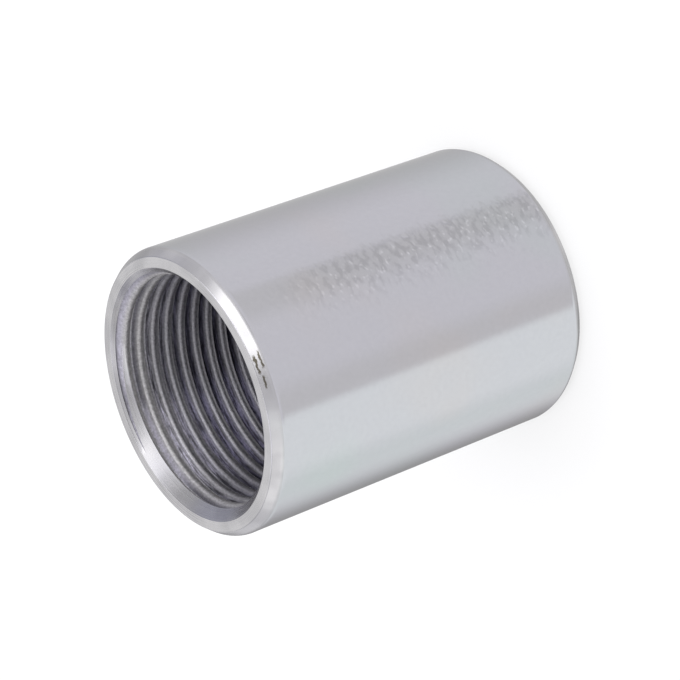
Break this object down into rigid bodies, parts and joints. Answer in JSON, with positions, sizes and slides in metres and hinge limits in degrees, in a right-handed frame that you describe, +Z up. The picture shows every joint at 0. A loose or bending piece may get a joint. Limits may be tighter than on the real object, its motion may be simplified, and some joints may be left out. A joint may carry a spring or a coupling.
{
  "type": "conduit coupling",
  "caption": "Straight zinc-plated steel sleeve with a right-hand pipe thread right through, bevelled at both ends, that joins rigid conduit end to end.",
  "frame": {"origin": "middle of the lower end face, on the bore's axis", "axes": "+Z up along the bore's axis; X and Y are free, because the sleeve is round"},
  "size_m": [0.0388, 0.0388, 0.0508],
  "materials": {
    "zinc_plate": "clear zinc electroplate on steel, satin outside, with turning marks on the ends and in the thread"
  },
  "bodies": {
    "root": {"coupling_sleeve": "zinc_plate"}
  },
  "joints": []
}
